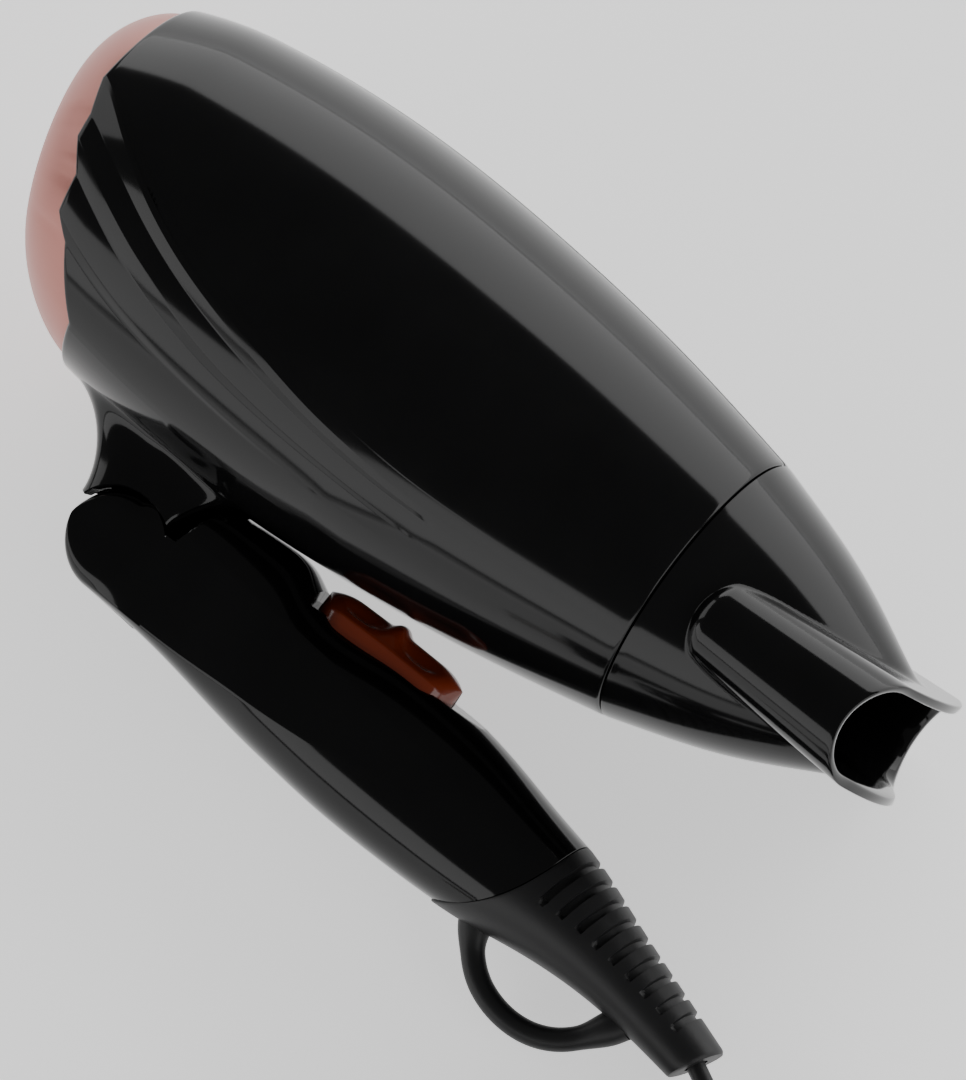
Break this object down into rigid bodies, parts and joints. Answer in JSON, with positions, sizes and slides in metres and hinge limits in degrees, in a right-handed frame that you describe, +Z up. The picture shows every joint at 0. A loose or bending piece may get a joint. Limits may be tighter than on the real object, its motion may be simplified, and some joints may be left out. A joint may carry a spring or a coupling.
{
  "type": "travel hair dryer",
  "caption": "Compact hair dryer with a folding handle, flat concentrator nozzle, domed rear intake cover, slide switch, moulded hanging loop and mains lead put away in a tied coil.",
  "frame": {"origin": "middle of the box of the dryer without its lead, on the table that the dryer lies on", "axes": "+X along the barrel towards the nozzle, which dips 3.2 degrees; +Z up from the table; the folded handle lies on the -Y side of the barrel"},
  "size_m": [0.2761, 0.2256, 0.0851],
  "materials": {
    "shell": "piano black gloss",
    "nozzle": "piano black gloss, heat-resistant",
    "rose_gold": "rose gold satin lacquer",
    "black_plastic": "fine matt",
    "steel_mesh": "fine woven",
    "screw_steel": "plain steel",
    "motor_steel": "zinc plated",
    "duct_plastic": "heat-resistant moulding",
    "fan_plastic": "moulded",
    "white_plastic": "moulded",
    "circuit_board": "laminate",
    "mica": "pressed mica",
    "resistance_wire": "oxidised wire",
    "wire_insulation": "silicone",
    "brass": "plain",
    "capacitor_case": "moulded box",
    "switch_plastic": "deep red-brown gloss",
    "soft_pvc": "matt, soft",
    "lead_pvc": "satin, flexible",
    "tie": "hook and loop",
    "plug_pvc": "matt",
    "nickel": "nickel plated"
  },
  "bodies": {
    "handle": {"clamp_screws": "screw_steel", "cord_clamp": "white_plastic", "cord_coil": "lead_pvc", "cord_run": "lead_pvc", "cord_sleeve": "soft_pvc", "cord_tail": "lead_pvc", "cord_tie": "tie", "handle_screws": "screw_steel", "handle_shell_left": "shell", "handle_shell_right": "shell", "hinge_pin": "screw_steel", "hinge_washers": "screw_steel", "noise_capacitor": "capacitor_case", "plug_body": "plug_pvc", "plug_pins": "nickel", "supply_leads": "wire_insulation", "switch_housing": "white_plastic", "switch_terminals": "brass"},
    "barrel": {"barrel_shell_right": "shell", "barrel_shell_left": "shell", "neck_screws": "screw_steel", "rear_cover": "rose_gold", "rear_grille": "black_plastic", "dust_screen": "steel_mesh", "fan_duct": "duct_plastic", "motor_can": "motor_steel", "motor_end_cap": "white_plastic", "rectifier_board": "circuit_board", "heater_board_upright": "mica", "heater_board_level": "mica", "heater_windings": "resistance_wire", "mica_sleeve": "mica", "thermostat": "white_plastic", "thermal_fuse": "screw_steel", "heater_leads": "wire_insulation", "outlet_ring": "motor_steel", "outlet_grille": "black_plastic"},
    "fan": {"fan": "fan_plastic", "motor_shaft": "screw_steel"},
    "nozzle": {"nozzle": "nozzle"},
    "switch": {"switch_knob": "switch_plastic", "switch_slider": "white_plastic"}
  },
  "joints": [
    {"name": "handle_fold", "type": "hinge", "parent": "handle", "child": "barrel", "pos_m": [-0.0491, -0.03438, 0.0218], "axis": [0.0524, -0.3437, 0.9376], "range_deg": [0, 90]},
    {"name": "nozzle_turn", "type": "hinge", "parent": "barrel", "child": "nozzle", "pos_m": [0.05272, 0.02347, 0.0373], "axis": [0.9984, 0, -0.0558], "continuous": true},
    {"name": "fan_spin", "type": "hinge", "parent": "barrel", "child": "fan", "pos_m": [-0.06909, 0.02347, 0.04412], "axis": [0.9984, 0, -0.0558], "continuous": true},
    {"name": "switch_slide", "type": "slide", "parent": "handle", "child": "switch", "axis": [0.9984, 0, -0.0558], "range_m": [0, 0.007]}
  ]
}
